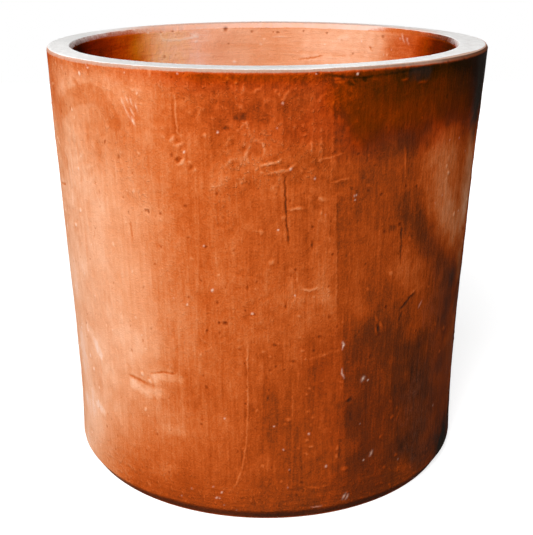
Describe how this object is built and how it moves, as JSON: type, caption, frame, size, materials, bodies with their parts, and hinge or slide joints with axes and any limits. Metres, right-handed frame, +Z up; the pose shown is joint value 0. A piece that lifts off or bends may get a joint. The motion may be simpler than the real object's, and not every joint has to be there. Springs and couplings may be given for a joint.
{
  "type": "terracotta pot",
  "caption": "Tall round terracotta pot with a slight taper, thick wall, flat rim, eased edges and a drain hole in the floor.",
  "frame": {"origin": "centre of the underside, on the ground the pot stands on", "axes": "+Z up along the pot's axis; -Y is the side that faces the picture's camera, so +X is its right"},
  "size_m": [0.4512, 0.4524, 0.443],
  "materials": {
    "terracotta": "matt unglazed fired clay, scraped by hand, with a chalky bloom on the rim"
  },
  "bodies": {
    "root": {"pot_body": "terracotta"}
  },
  "joints": []
}
